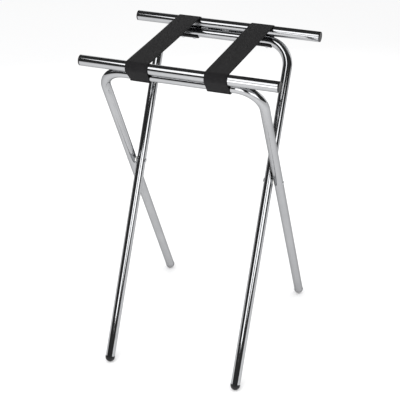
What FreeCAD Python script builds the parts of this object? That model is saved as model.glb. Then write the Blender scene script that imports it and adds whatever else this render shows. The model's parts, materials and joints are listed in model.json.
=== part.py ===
"""Folding luggage rack: two crossed U frames of tube, two top bars and two webbing straps.

Axes: +X along the top bars to the right, +Y to the rear, +Z up. The origin is on the floor, midway
between the four feet, under the pivot axis. Lengths are in millimetres and angles in degrees.

Each frame is drawn upright in its own axes: the pivot axis is the local X axis, the crosspiece is
above it, the feet are below it, and the side that faces outwards when the rack stands is local -Y.
The outer frame leans its top to the front. The inner frame is turned half a turn about Z, so its
top leans to the rear.
"""
import FreeCAD, Part
import math
import os

import Sketcher

SIZES = {
    "lean_angle": 27.6,         # each frame from upright when the straps are tight
    "tube_d": 23.0,             # frame tube
    "tube_wall": 1.2,
    "bend_radius": 60.0,        # centreline radius of both bends of a frame
    "outer_width": 385.5,       # between the leg centrelines of the outer frame
    "pivot_gap": 2.0,           # between an outer and an inner leg
    "leg_above": 334.8,         # pivot axis to crosspiece centreline
    "leg_below": 505.5,         # pivot axis to the centre of a foot's dome
    "bar_d": 25.0,              # top bar tube
    "bar_wall": 1.2,
    "bar_length": 475.0,        # over the flanges of both end plugs
    "flange_length": 3.0,       # end plug outside its bar
    "flange_edge": 0.9,
    "shank_length": 16.0,       # end plug inside its bar
    "foot_radius": 12.1,
    "foot_rim": 2.5,            # straight rim between a foot's dome and its tube
    "foot_flat": 0.6,           # height worn off the dome where it meets the floor
    "foot_shank": 22.0,
    "rib_height": 1.4,          # ribs of every plug above its core
    "rib_length": 2.4,
    "strap_width": 56.0,
    "strap_thick": 2.0,
    "strap_offset": 94.0,       # strap centreline from the middle of the rack
    "strap_gap": 0.3,           # between two stretches of one strap that move apart
    "hem_back": 62.0,           # folded hem on the crosspiece, back from its lowest line
    "hem_ahead": 35.0,          # and on past that line
    "screw_d": 4.0,
    "screw_pitch": 30.0,        # between the two screws of a strap end
    "screw_bite": 3.5,          # screw point past the tube wall
    "screw_head_d": 8.0,
    "screw_head": 2.4,
    "washer_d": 10.5,
    "washer_thick": 1.0,
    "seat_depth": 1.0,          # washer pressed into the hem
    "rivet_d": 6.0,
    "rivet_play": 0.05,         # radial, in the inner frame's holes
    "rivet_head_d": 9.0,
    "rivet_head": 1.5,
    "rivet_sink": 1.4,          # head edge down over the round of the leg
    "rivet_tail_d": 8.0,
    "rivet_tail": 0.8,
    "spacer_d": 13.0,
    "pivot_washer_d": 10.0,
    "pivot_washer": 0.6,
    "side_play": 0.3,           # beside the inner leg, at the spacer and at the washer
    "bead_radius": 2.2,
    "bead_length": 18.0,
    "bead_pitch": 55.0,
    "bead_offset": 4.6,         # bead centre from the line where bar and crosspiece touch
}

INNER_WIDTH = "(Sizes.outer_width - 2 * (Sizes.tube_d + Sizes.pivot_gap))"
WIDTHS = {"outer": "Sizes.outer_width", "inner": INNER_WIDTH}
BAR_HEIGHT = "(Sizes.leg_above + (Sizes.tube_d + Sizes.bar_d) / 2)"
OUTER_CREST = "(Sizes.outer_width / 2 + Sizes.tube_d / 2)"
INNER_LEG = "(" + INNER_WIDTH + " / 2)"
TANGENT_ANGLE = "acos((Sizes.tube_d - Sizes.bar_d) / (Sizes.bar_d + Sizes.tube_d))"
HEM_SEAT = "(Sizes.leg_above - Sizes.tube_d / 2 - 2 * Sizes.strap_thick + Sizes.seat_depth)"
WASHER_UNDER = "(" + HEM_SEAT + " - Sizes.washer_thick)"
TUBE_END = "(Sizes.leg_below - Sizes.foot_rim)"
LONG_CUT = "(4 * Sizes.tube_d)"

X_AXIS = FreeCAD.Vector(1, 0, 0)
Y_AXIS = FreeCAD.Vector(0, 1, 0)
Z_AXIS = FreeCAD.Vector(0, 0, 1)

doc = FreeCAD.newDocument("FoldingRack")


def make_sheet():
    """Spreadsheet of driving dimensions, one alias per row."""
    sheet = doc.addObject("Spreadsheet::Sheet", "Sizes")
    for row, (name, number) in enumerate(SIZES.items(), start=1):
        sheet.set("A%d" % row, name)
        sheet.set("B%d" % row, str(number))
        sheet.setAlias("B%d" % row, name)
    doc.recompute()
    return sheet


sheet = make_sheet()


def value(expression):
    """Number that an expression on the sheet gives now."""
    result = sheet.evalExpression(str(expression))
    return float(getattr(result, "Value", result))


def move(x=0.0, y=0.0, z=0.0, axis=Z_AXIS, turn=0.0):
    """Placement that turns about an axis through the origin, then shifts."""
    return FreeCAD.Placement(FreeCAD.Vector(x, y, z), FreeCAD.Rotation(axis, turn))


def pivot_height():
    """Height of the pivot axis when all four feet stand on their flats."""
    lean = math.radians(value("Sizes.lean_angle"))
    return value("Sizes.leg_below") * math.cos(lean) + value("Sizes.foot_radius - Sizes.foot_flat")


def frame_placement(frame):
    """Placement of a frame's local axes: leaning forwards, or turned round to lean backwards."""
    lean = FreeCAD.Rotation(X_AXIS, value("Sizes.lean_angle"))
    about = FreeCAD.Rotation(Z_AXIS, 0 if frame == "outer" else 180)
    return FreeCAD.Placement(FreeCAD.Vector(0, 0, pivot_height()), about.multiply(lean))


# Sketches and features


def new_body(label):
    """Empty body that carries a sub-part's name."""
    body = doc.addObject("PartDesign::Body", label)
    body.Label = label
    return body


def sketch_on(body, role, name, shift=None):
    """Sketch on one of the body's own origin planes, shifted by expressions in the sketch's axes."""
    sketch = body.newObject("Sketcher::SketchObject", name)
    plane = next(item for item in body.Origin.OriginFeatures if item.Role == role)
    sketch.AttachmentSupport = [(plane, "")]
    sketch.MapMode = "FlatFace"
    for letter, expression in (shift or {}).items():
        sketch.setExpression("AttachmentOffset.Base." + letter, expression)
    return sketch


def dimension(sketch, kind, points, expression):
    """Driving dimension bound to the sheet."""
    number = sketch.addConstraint(Sketcher.Constraint(kind, *points, value(expression)))
    sketch.setExpression("Constraints[%d]" % number, expression)


def fix_point(sketch, edge, end, x, y):
    """Hold a vertex at the place that two expressions give, from the sketch's origin."""
    for kind, expression, axis in (("DistanceX", x, -2), ("DistanceY", y, -1)):
        if expression == "0":
            sketch.addConstraint(Sketcher.Constraint("PointOnObject", edge, end, axis))
        else:
            dimension(sketch, kind, (-1, 1, edge, end), expression)


def draw_polygon(sketch, corners):
    """Closed outline through corners given as pairs of expressions."""
    points = [FreeCAD.Vector(value(x), value(y), 0) for x, y in corners]
    first = sketch.GeometryCount
    count = len(points)
    for index in range(count):
        sketch.addGeometry(Part.LineSegment(points[index], points[(index + 1) % count]))
    for index, (x, y) in enumerate(corners):
        following = first + (index + 1) % count
        sketch.addConstraint(Sketcher.Constraint("Coincident", first + index, 2, following, 1))
        fix_point(sketch, first + index, 1, x, y)


def draw_circle(sketch, x, y, diameter):
    """Circle of a bound diameter, its centre held by expressions."""
    centre = FreeCAD.Vector(value(x), value(y), 0)
    edge = sketch.addGeometry(Part.Circle(centre, Z_AXIS, value(diameter) / 2))
    fix_point(sketch, edge, 3, x, y)
    dimension(sketch, "Diameter", (edge,), diameter)


def pad(body, sketch, length, symmetric=False):
    """Pad along the sketch's normal, or half to each side of it."""
    feature = body.newObject("PartDesign::Pad", sketch.Name + "_pad")
    feature.Profile = sketch
    feature.SideType = "Symmetric" if symmetric else "One side"
    feature.setExpression("Length", length)
    return feature


def pocket(body, sketch, length, symmetric=False, ahead=False):
    """Pocket against the sketch's normal, ahead along it, or half to each side of it."""
    feature = body.newObject("PartDesign::Pocket", sketch.Name + "_pocket")
    feature.Profile = sketch
    feature.SideType = "Symmetric" if symmetric else "One side"
    feature.Reversed = ahead
    feature.setExpression("Length", length)
    return feature


def revolve(body, sketch, axis, angle="360", back=None):
    """Revolution about a sketch axis, by one angle or by one angle each way."""
    feature = body.newObject("PartDesign::Revolution", sketch.Name + "_revolution")
    feature.Profile = sketch
    feature.ReferenceAxis = (sketch, [axis])
    feature.setExpression("Angle", angle)
    if back is not None:
        feature.Type = "TwoAngles"
        feature.setExpression("Angle2", back)
    return feature


# Frames


def draw_u_path(sketch, width):
    """Centreline of a frame: a leg, a bend, the crosspiece, a bend and the other leg."""
    half = value(width) / 2
    top = value("Sizes.leg_above")
    foot = -value(TUBE_END)
    bend = value("Sizes.bend_radius")
    left_up = Part.LineSegment(FreeCAD.Vector(-half, foot, 0), FreeCAD.Vector(-half, top - bend, 0))
    across = Part.LineSegment(FreeCAD.Vector(-half + bend, top, 0), FreeCAD.Vector(half - bend, top, 0))
    right_down = Part.LineSegment(FreeCAD.Vector(half, top - bend, 0), FreeCAD.Vector(half, foot, 0))
    left_circle = Part.Circle(FreeCAD.Vector(-half + bend, top - bend, 0), Z_AXIS, bend)
    right_circle = Part.Circle(FreeCAD.Vector(half - bend, top - bend, 0), Z_AXIS, bend)
    left_bend = Part.ArcOfCircle(left_circle, math.pi / 2, math.pi)
    right_bend = Part.ArcOfCircle(right_circle, 0, math.pi / 2)
    for edge in (left_up, left_bend, across, right_bend, right_down):
        sketch.addGeometry(edge)
    sketch.addConstraint(Sketcher.Constraint("Vertical", 0))
    sketch.addConstraint(Sketcher.Constraint("Horizontal", 2))
    sketch.addConstraint(Sketcher.Constraint("Vertical", 4))
    sketch.addConstraint(Sketcher.Constraint("Tangent", 0, 2, 1, 2))
    sketch.addConstraint(Sketcher.Constraint("Tangent", 1, 1, 2, 1))
    sketch.addConstraint(Sketcher.Constraint("Tangent", 2, 2, 3, 2))
    sketch.addConstraint(Sketcher.Constraint("Tangent", 3, 1, 4, 1))
    sketch.addConstraint(Sketcher.Constraint("Equal", 1, 3))
    dimension(sketch, "Radius", (1,), "Sizes.bend_radius")
    dimension(sketch, "DistanceY", (-1, 1, 2, 1), "Sizes.leg_above")
    fix_point(sketch, 0, 1, "-" + width + " / 2", "-" + TUBE_END)
    fix_point(sketch, 4, 2, width + " / 2", "-" + TUBE_END)


def sweep_frame(body, kind, width, diameters, shift="0"):
    """Add or cut a frame's tube: circles swept from the left foot to the right one."""
    name = body.Label
    path = sketch_on(body, "XZ_Plane", name + "_path", {"x": shift})
    draw_u_path(path, width)
    start = {"x": "%s - %s / 2" % (shift, width), "z": "-" + TUBE_END}
    section = sketch_on(body, "XY_Plane", name + "_section", start)
    for diameter in diameters:
        draw_circle(section, "0", "0", diameter)
    doc.recompute()
    pipe = body.newObject(kind, name + "_pipe")
    pipe.Profile = section
    pipe.Spine = (path, ["Edge1", "Edge2", "Edge3", "Edge4", "Edge5"])


def make_frame_tube(frame, label):
    """Bent tube, with a rivet hole across each leg and two screw holes under each strap."""
    width = WIDTHS[frame]
    body = new_body(label)
    bore = "Sizes.tube_d - 2 * Sizes.tube_wall"
    sweep_frame(body, "PartDesign::AdditivePipe", width, ["Sizes.tube_d", bore])
    play = "0" if frame == "outer" else "2 * Sizes.rivet_play"
    rivet_hole = sketch_on(body, "YZ_Plane", label + "_rivet_hole")
    draw_circle(rivet_hole, "0", "0", "Sizes.rivet_d + " + play)
    pocket(body, rivet_hole, width + " + 2 * Sizes.tube_d", symmetric=True)
    screw_holes = sketch_on(body, "XY_Plane", label + "_screw_holes")
    for side in ("-", ""):
        for step in ("-", "+"):
            centre = "%sSizes.strap_offset %s Sizes.screw_pitch / 2" % (side, step)
            draw_circle(screw_holes, centre, "0", "Sizes.screw_d")
    pocket(body, screw_holes, "Sizes.leg_above", ahead=True)
    body.Placement = frame_placement(frame)
    return body


def make_top_bar(frame, label):
    """Straight tube that lies on the crosspiece, between its two end plugs."""
    body = new_body(label)
    section = sketch_on(body, "YZ_Plane", label + "_section")
    draw_circle(section, "0", "0", "Sizes.bar_d")
    draw_circle(section, "0", "0", "Sizes.bar_d - 2 * Sizes.bar_wall")
    pad(body, section, "Sizes.bar_length - 2 * Sizes.flange_length", symmetric=True)
    body.Placement = frame_placement(frame).multiply(move(z=value(BAR_HEIGHT)))
    return body


def ribbed_shank(bore, depth, inward):
    """Outline of a plug's shank from its mouth inwards: (axial, radial) pairs, ribs at both ends."""
    core = "(%s - Sizes.rib_height)" % bore
    near = "Sizes.rib_length"
    far = "(%s - Sizes.rib_length)" % depth
    first = [("0", bore), (near, bore), (near, core)]
    second = [(far, core), (far, bore), (depth, bore), (depth, "0")]
    steps = first + second
    return [(inward + axial if axial != "0" else "0", radial) for axial, radial in steps]


def make_bar_plug(frame, side, label):
    """End plug: a flange as wide as the bar, its edge broken, and a ribbed shank in the bore."""
    body = new_body(label)
    outline = sketch_on(body, "XZ_Plane", label + "_outline")
    rim = "Sizes.bar_d / 2"
    face = "Sizes.flange_length"
    bore = "(Sizes.bar_d / 2 - Sizes.bar_wall)"
    shank = ribbed_shank(bore, "Sizes.shank_length", "-")
    broken_edge = [(face, rim + " - Sizes.flange_edge"), (face + " - Sizes.flange_edge", rim)]
    draw_polygon(outline, [(face, "0")] + broken_edge + [("0", rim)] + shank)
    revolve(body, outline, "H_Axis")
    reach = value("Sizes.bar_length / 2 - Sizes.flange_length")
    turned = 0 if side > 0 else 180
    local = move(x=side * reach, z=value(BAR_HEIGHT), turn=turned)
    body.Placement = frame_placement(frame).multiply(local)
    return body


def make_foot(frame, side, label):
    """Foot plug: a dome with a flat where it stands, a rim as wide, and a ribbed shank in the leg."""
    body = new_body(label)
    dome = sketch_on(body, "XZ_Plane", label + "_dome")
    radius = value("Sizes.foot_radius")
    centre = FreeCAD.Vector(0, 0, 0)
    lowest = FreeCAD.Vector(0, -radius, 0)
    edge = FreeCAD.Vector(radius, 0, 0)
    dome.addGeometry(Part.ArcOfCircle(Part.Circle(centre, Z_AXIS, radius), -math.pi / 2, 0))
    dome.addGeometry(Part.LineSegment(edge, centre))
    dome.addGeometry(Part.LineSegment(centre, lowest))
    dome.addConstraint(Sketcher.Constraint("Coincident", 0, 3, -1, 1))
    dome.addConstraint(Sketcher.Constraint("Coincident", 1, 2, -1, 1))
    dome.addConstraint(Sketcher.Constraint("Coincident", 2, 1, -1, 1))
    dome.addConstraint(Sketcher.Constraint("Coincident", 0, 2, 1, 1))
    dome.addConstraint(Sketcher.Constraint("Coincident", 0, 1, 2, 2))
    dome.addConstraint(Sketcher.Constraint("Horizontal", 1))
    dome.addConstraint(Sketcher.Constraint("Vertical", 2))
    dimension(dome, "Radius", (0,), "Sizes.foot_radius")
    revolve(body, dome, "V_Axis")
    plug = sketch_on(body, "XZ_Plane", label + "_plug", {"y": "Sizes.foot_rim"})
    bore = "(Sizes.tube_d / 2 - Sizes.tube_wall)"
    shank = [(radial, axial) for axial, radial in ribbed_shank(bore, "Sizes.foot_shank", "")]
    rim = [("0", "-Sizes.foot_rim"), ("Sizes.foot_radius", "-Sizes.foot_rim"), ("Sizes.foot_radius", "0")]
    draw_polygon(plug, rim + shank)
    revolve(body, plug, "V_Axis")
    flat = sketch_on(body, "YZ_Plane", label + "_flat")
    near = "(Sizes.foot_radius - Sizes.foot_flat)"
    far = "(2 * Sizes.foot_radius)"
    corners = []
    for depth, across in ((near, "-"), (near, "+"), (far, "+"), (far, "-")):
        y = "-sin(Sizes.lean_angle) * %s %s cos(Sizes.lean_angle) * Sizes.foot_radius" % (depth, across)
        back = "+" if across == "-" else "-"
        z = "-cos(Sizes.lean_angle) * %s %s sin(Sizes.lean_angle) * Sizes.foot_radius" % (depth, back)
        corners.append((y, z))
    draw_polygon(flat, corners)
    pocket(body, flat, "3 * Sizes.foot_radius", symmetric=True)
    half = value(WIDTHS[frame]) / 2
    local = move(x=side * half, z=-value("Sizes.leg_below"))
    body.Placement = frame_placement(frame).multiply(local)
    return body


def make_welds(frame, label):
    """Three beads along the line where bar and crosspiece touch, on the side that faces inwards."""
    beads = []
    for step in (-1, 0, 1):
        bead = doc.addObject("Part::Cylinder", "%s_bead" % label)
        bead.setExpression("Radius", "Sizes.bead_radius")
        bead.setExpression("Height", "Sizes.bead_length")
        start = step * value("Sizes.bead_pitch") - value("Sizes.bead_length") / 2
        seam = value("Sizes.leg_above + Sizes.tube_d / 2")
        bead.Placement = move(x=start, y=value("Sizes.bead_offset"), z=seam, axis=Y_AXIS, turn=90)
        beads.append(bead)
    row = doc.addObject("Part::MultiFuse", label + "_row")
    row.Shapes = beads
    tubes = []
    for diameter, height in (("Sizes.tube_d", "Sizes.leg_above"), ("Sizes.bar_d", BAR_HEIGHT)):
        tube = doc.addObject("Part::Cylinder", label + "_tube")
        tube.setExpression("Radius", diameter + " / 2")
        tube.setExpression("Height", "Sizes.bar_length")
        tube.Placement = move(x=-value("Sizes.bar_length / 2"), z=value(height), axis=Y_AXIS, turn=90)
        tubes.append(tube)
    both = doc.addObject("Part::MultiFuse", label + "_tubes")
    both.Shapes = tubes
    welds = doc.addObject("Part::Cut", label)
    welds.Label = label
    welds.Base = row
    welds.Tool = both
    welds.Placement = frame_placement(frame)
    return welds


# Straps


def draw_band(sketch, low, high):
    """Section of a strap lying flat: its full width, from one height to another."""
    half = "Sizes.strap_width / 2"
    draw_polygon(sketch, [("-" + half, low), (half, low), (half, high), ("-" + half, high)])


def make_strap_wrap(frame, side, label):
    """End of a strap: over the bar, straight down past the seam, round under the crosspiece and
    folded back on itself as a hem, with two screw holes and seats for their washers. The frame's
    tube is hollowed out of it, so it lies on the crosspiece and on the start of the bend."""
    body = new_body(label)
    over_bar = sketch_on(body, "XZ_Plane", label + "_over_bar", {"y": BAR_HEIGHT})
    draw_band(over_bar, "Sizes.bar_d / 2", "Sizes.bar_d / 2 + Sizes.strap_thick")
    revolve(body, over_bar, "H_Axis", TANGENT_ANGLE, "Sizes.lean_angle")
    fall = sketch_on(body, "YZ_Plane", label + "_fall")
    corners = []
    for radius, height in (("Sizes.bar_d / 2", BAR_HEIGHT), ("Sizes.tube_d / 2", "Sizes.leg_above")):
        pair = []
        for reach in (radius, "(%s + Sizes.strap_thick)" % radius):
            y = "-%s * sin(%s)" % (reach, TANGENT_ANGLE)
            z = "%s + %s * cos(%s)" % (height, reach, TANGENT_ANGLE)
            pair.append((y, z))
        corners.extend(pair if not corners else reversed(pair))
    draw_polygon(fall, corners)
    pad(body, fall, "Sizes.strap_width", symmetric=True)
    under = sketch_on(body, "XZ_Plane", label + "_under", {"y": "Sizes.leg_above"})
    draw_band(under, "-Sizes.tube_d / 2 - Sizes.strap_thick", "-Sizes.tube_d / 4")
    revolve(body, under, "H_Axis", "Sizes.hem_ahead", "180 deg - " + TANGENT_ANGLE)
    hem = sketch_on(body, "XZ_Plane", label + "_hem", {"y": "Sizes.leg_above"})
    draw_band(hem, "-Sizes.tube_d / 2 - 2 * Sizes.strap_thick", "-Sizes.tube_d / 2 - Sizes.strap_thick")
    revolve(body, hem, "H_Axis", "Sizes.hem_ahead", "Sizes.hem_back")
    seats = ("seats", "Sizes.washer_d", HEM_SEAT)
    holes = ("holes", "Sizes.screw_d", "Sizes.leg_above")
    for name, diameter, top in (seats, holes):
        sketch = sketch_on(body, "XY_Plane", label + "_" + name)
        for step in ("-", ""):
            draw_circle(sketch, step + "Sizes.screw_pitch / 2", "0", diameter)
        pocket(body, sketch, top, ahead=True)
    middle = "%d * Sizes.strap_offset" % -side
    sweep_frame(body, "PartDesign::SubtractivePipe", WIDTHS[frame], ["Sizes.tube_d"], middle)
    local = move(x=side * value("Sizes.strap_offset"))
    body.Placement = frame_placement(frame).multiply(local)
    return body


def make_strap_half(frame, side, label):
    """Free half of a strap: flat, from the top of its bar to the middle of the rack."""
    half = doc.addObject("Part::Box", label)
    half.Label = label
    reach = BAR_HEIGHT + " * sin(Sizes.lean_angle)"
    half.setExpression("Length", "Sizes.strap_width")
    half.setExpression("Width", reach + " - Sizes.strap_gap - Sizes.strap_gap / 2")
    half.setExpression("Height", "Sizes.strap_thick")
    lean = math.radians(value("Sizes.lean_angle"))
    top = pivot_height() + value(BAR_HEIGHT) * math.cos(lean) + value("Sizes.bar_d / 2")
    left_edge = side * value("Sizes.strap_offset") - value("Sizes.strap_width / 2")
    front_start = value("Sizes.strap_gap - %s" % reach)
    start = front_start if frame == "outer" else value("Sizes.strap_gap / 2")
    half.Placement = move(x=left_edge, y=start, z=top)
    return half


def screw_places():
    """Local X of the four screws of a frame, two to each strap."""
    offset = value("Sizes.strap_offset")
    half = value("Sizes.screw_pitch / 2")
    return [side * offset + step * half for side in (-1, 1) for step in (-1, 1)]


def make_strap_screws(frame, label):
    """Four round-headed screws, up through washer, hem and tube wall."""
    screws = []
    for x in screw_places():
        shank = doc.addObject("Part::Cylinder", label + "_shank")
        shank.setExpression("Radius", "Sizes.screw_d / 2")
        tip = "(Sizes.leg_above - Sizes.tube_d / 2 + Sizes.tube_wall + Sizes.screw_bite)"
        shank.setExpression("Height", "%s - %s" % (tip, WASHER_UNDER))
        shank.Placement = move(x=x, z=value(WASHER_UNDER))
        head = doc.addObject("Part::Cone", label + "_head")
        head.setExpression("Radius1", "Sizes.screw_head_d / 4")
        head.setExpression("Radius2", "Sizes.screw_head_d / 2")
        head.setExpression("Height", "Sizes.screw_head")
        head.Placement = move(x=x, z=value(WASHER_UNDER + " - Sizes.screw_head"))
        screw = doc.addObject("Part::Fuse", label + "_screw")
        screw.Base = head
        screw.Tool = shank
        screws.append(screw)
    group = doc.addObject("Part::Compound", label)
    group.Label = label
    group.Links = screws
    group.Placement = frame_placement(frame)
    return group


def make_strap_washers(frame, label):
    """Four flat washers pressed into the hems."""
    washers = []
    for x in screw_places():
        disc = doc.addObject("Part::Cylinder", label + "_disc")
        disc.setExpression("Radius", "Sizes.washer_d / 2")
        hole = doc.addObject("Part::Cylinder", label + "_hole")
        hole.setExpression("Radius", "Sizes.screw_d / 2")
        for solid in (disc, hole):
            solid.setExpression("Height", "Sizes.washer_thick")
            solid.Placement = move(x=x, z=value(WASHER_UNDER))
        washer = doc.addObject("Part::Cut", label + "_washer")
        washer.Base = disc
        washer.Tool = hole
        washers.append(washer)
    group = doc.addObject("Part::Compound", label)
    group.Label = label
    group.Links = washers
    group.Placement = frame_placement(frame)
    return group


# Pivot: everything here turns with the outer frame


def place_pivot(body, side):
    """Pivot pieces are drawn on the right and turned half round for the left."""
    body.Placement = frame_placement("outer").multiply(move(turn=0 if side > 0 else 180))


def make_pivot_rivet(side, label):
    """Rivet: head saddled over the outer leg, shank through both legs, formed tail on the washer."""
    body = new_body(label)
    head = sketch_on(body, "XZ_Plane", label + "_head")
    edge = "Sizes.rivet_head_d / 2"
    under = OUTER_CREST + " - Sizes.rivet_sink"
    shoulder = OUTER_CREST + " + Sizes.rivet_head / 2"
    crown = OUTER_CREST + " + Sizes.rivet_head"
    crown_outline = [(shoulder, edge), (crown, edge + " * 0.6"), (crown, "0")]
    draw_polygon(head, [(under, "0"), (under, edge)] + crown_outline)
    revolve(body, head, "H_Axis")
    saddle = sketch_on(body, "XY_Plane", label + "_saddle")
    draw_circle(saddle, "Sizes.outer_width / 2", "0", "Sizes.tube_d")
    pocket(body, saddle, LONG_CUT, symmetric=True)
    shank = sketch_on(body, "XZ_Plane", label + "_shank")
    radius = "Sizes.rivet_d / 2"
    tail = "Sizes.rivet_tail_d / 2"
    seat = INNER_LEG + " - Sizes.tube_d / 2 - Sizes.side_play - Sizes.pivot_washer"
    end = seat + " - Sizes.rivet_tail"
    shank_outline = [(OUTER_CREST, "0"), (OUTER_CREST, radius), (seat, radius), (seat, tail)]
    tail_outline = [(seat + " - Sizes.rivet_tail / 2", tail), (end, tail + " * 0.6"), (end, "0")]
    draw_polygon(shank, shank_outline + tail_outline)
    revolve(body, shank, "H_Axis")
    place_pivot(body, side)
    return body


def make_pivot_spacer(side, label):
    """Spacer between the legs: flat towards the inner leg, saddled over the outer one."""
    body = new_body(label)
    start = INNER_LEG + " + Sizes.tube_d / 2 + Sizes.side_play"
    ring = sketch_on(body, "YZ_Plane", label + "_ring", {"z": start})
    draw_circle(ring, "0", "0", "Sizes.spacer_d")
    draw_circle(ring, "0", "0", "Sizes.rivet_d")
    pad(body, ring, "Sizes.outer_width / 2 - (%s)" % start)
    saddle = sketch_on(body, "XY_Plane", label + "_saddle")
    draw_circle(saddle, "Sizes.outer_width / 2", "0", "Sizes.tube_d")
    pocket(body, saddle, LONG_CUT, symmetric=True)
    place_pivot(body, side)
    return body


def make_pivot_washer(side, label):
    """Flat washer between the inner leg and the rivet's tail."""
    body = new_body(label)
    start = INNER_LEG + " - Sizes.tube_d / 2 - Sizes.side_play - Sizes.pivot_washer"
    ring = sketch_on(body, "YZ_Plane", label + "_ring", {"z": start})
    draw_circle(ring, "0", "0", "Sizes.pivot_washer_d")
    draw_circle(ring, "0", "0", "Sizes.rivet_d")
    pad(body, ring, "Sizes.pivot_washer")
    place_pivot(body, side)
    return body


def build():
    """All sub-parts of the rack. The inner frame is turned round, so its local sides swap."""
    parts = []
    for frame, top, foot in (("outer", "front", "rear"), ("inner", "rear", "front")):
        parts.append(make_frame_tube(frame, frame + "_frame_tube"))
        parts.append(make_top_bar(frame, top + "_top_bar"))
        parts.append(make_welds(frame, top + "_bar_welds"))
        parts.append(make_strap_screws(frame, top + "_strap_screws"))
        parts.append(make_strap_washers(frame, top + "_strap_washers"))
        right = 1 if frame == "outer" else -1
        for side, name in ((-right, "left"), (right, "right")):
            parts.append(make_bar_plug(frame, side, "%s_bar_plug_%s" % (top, name)))
            parts.append(make_foot(frame, side, "%s_foot_%s" % (foot, name)))
            parts.append(make_strap_wrap(frame, side, "%s_strap_wrap_%s" % (top, name)))
    for side, name in ((-1, "left"), (1, "right")):
        parts.append(make_strap_half("outer", side, "strap_span_front_" + name))
        parts.append(make_strap_half("inner", side, "strap_span_rear_" + name))
        parts.append(make_pivot_rivet(side, "pivot_rivet_" + name))
        parts.append(make_pivot_spacer(side, "pivot_spacer_" + name))
        parts.append(make_pivot_washer(side, "pivot_washer_" + name))
    return parts


def check(parts):
    """Stop if any object failed to compute or any sub-part has no valid shape."""
    faults = [item.Name for item in doc.Objects if {"Invalid", "Error"} & set(item.State)]
    faults += [part.Label for part in parts if part.Shape.isNull() or not part.Shape.isValid()]
    if faults:
        raise RuntimeError("not computed: " + ", ".join(faults))


def main():
    parts = build()
    doc.recompute()
    check(parts)
    os.makedirs("parts", exist_ok=True)
    for part in parts:
        part.Shape.exportStep(os.path.join("parts", part.Label + ".step"))
        box = part.Shape.BoundBox
        size = (box.XLength, box.YLength, box.ZLength)
        print("%-26s %8.0f mm3  %6.1f x %6.1f x %6.1f" % ((part.Label, part.Shape.Volume) + size))


main()
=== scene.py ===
"""Studio model of a folding luggage rack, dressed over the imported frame.

Two chromed tube frames cross at their pivots, each carries a straight top bar, and two lengths of
black webbing join the bars. Lengths are in metres. +X runs along the top bars to the right, +Y to
the rear, +Z up, and the floor is at zero.
"""

import json
import logging
import math
from dataclasses import dataclass
from enum import Enum
from typing import Any, Iterable, Sequence

import bmesh
import bpy
from mathutils import Matrix, Vector


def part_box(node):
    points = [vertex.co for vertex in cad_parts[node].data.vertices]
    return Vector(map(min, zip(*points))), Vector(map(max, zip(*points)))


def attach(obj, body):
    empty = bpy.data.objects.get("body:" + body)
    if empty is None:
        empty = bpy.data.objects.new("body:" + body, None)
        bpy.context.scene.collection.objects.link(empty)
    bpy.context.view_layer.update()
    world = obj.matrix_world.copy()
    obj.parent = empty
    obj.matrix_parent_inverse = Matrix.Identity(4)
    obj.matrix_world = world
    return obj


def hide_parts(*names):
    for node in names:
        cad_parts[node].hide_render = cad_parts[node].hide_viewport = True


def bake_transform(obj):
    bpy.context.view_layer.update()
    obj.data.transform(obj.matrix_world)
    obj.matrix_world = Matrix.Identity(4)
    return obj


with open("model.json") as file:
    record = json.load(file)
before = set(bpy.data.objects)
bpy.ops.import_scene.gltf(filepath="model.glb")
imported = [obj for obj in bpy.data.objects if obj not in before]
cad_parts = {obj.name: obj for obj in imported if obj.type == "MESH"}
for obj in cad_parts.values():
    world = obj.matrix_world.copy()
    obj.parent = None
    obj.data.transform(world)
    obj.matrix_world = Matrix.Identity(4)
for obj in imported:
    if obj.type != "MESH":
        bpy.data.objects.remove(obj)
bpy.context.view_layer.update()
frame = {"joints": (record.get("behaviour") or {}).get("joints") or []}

LOG = logging.getLogger("luggage_rack")
MM = 0.001

# Sizes that more than one sub-assembly uses: outside diameters of tube and bar, radius of the
# tube's bends, and each frame's width between the centres of its legs.
TUBE = 23.0 * MM
BAR = 25.0 * MM
BEND = 60.0 * MM
OUTER_WIDTH = 385.5 * MM
INNER_WIDTH = 335.5 * MM

Point2 = tuple[float, float]


class End(Enum):
    """The end of the rack that a top bar lies at, with its sign along Y."""

    FRONT = "front"
    REAR = "rear"

    @property
    def outward(self) -> int:
        """Sign of Y pointing away from the rack."""
        return -1 if self is End.FRONT else 1

    @property
    def body(self) -> str:
        """Body that the bar of this end is fixed to."""
        return "outer_frame" if self is End.FRONT else "inner_frame"


class Side(Enum):
    """Left or right half of the rack, with its sign along X."""

    LEFT = "left"
    RIGHT = "right"

    @property
    def sign(self) -> int:
        """Sign of X on this side."""
        return -1 if self is Side.LEFT else 1


# Node helpers


def socket_of(sockets: Iterable[bpy.types.NodeSocket], name: str) -> bpy.types.NodeSocket:
    """Find a node's socket by its name.

    Args:
        sockets: The node's inputs or outputs.
        name: Name shown beside the socket.

    Returns:
        The first enabled socket of that name.
    """
    return next(item for item in sockets if item.name == name and item.enabled)


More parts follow.
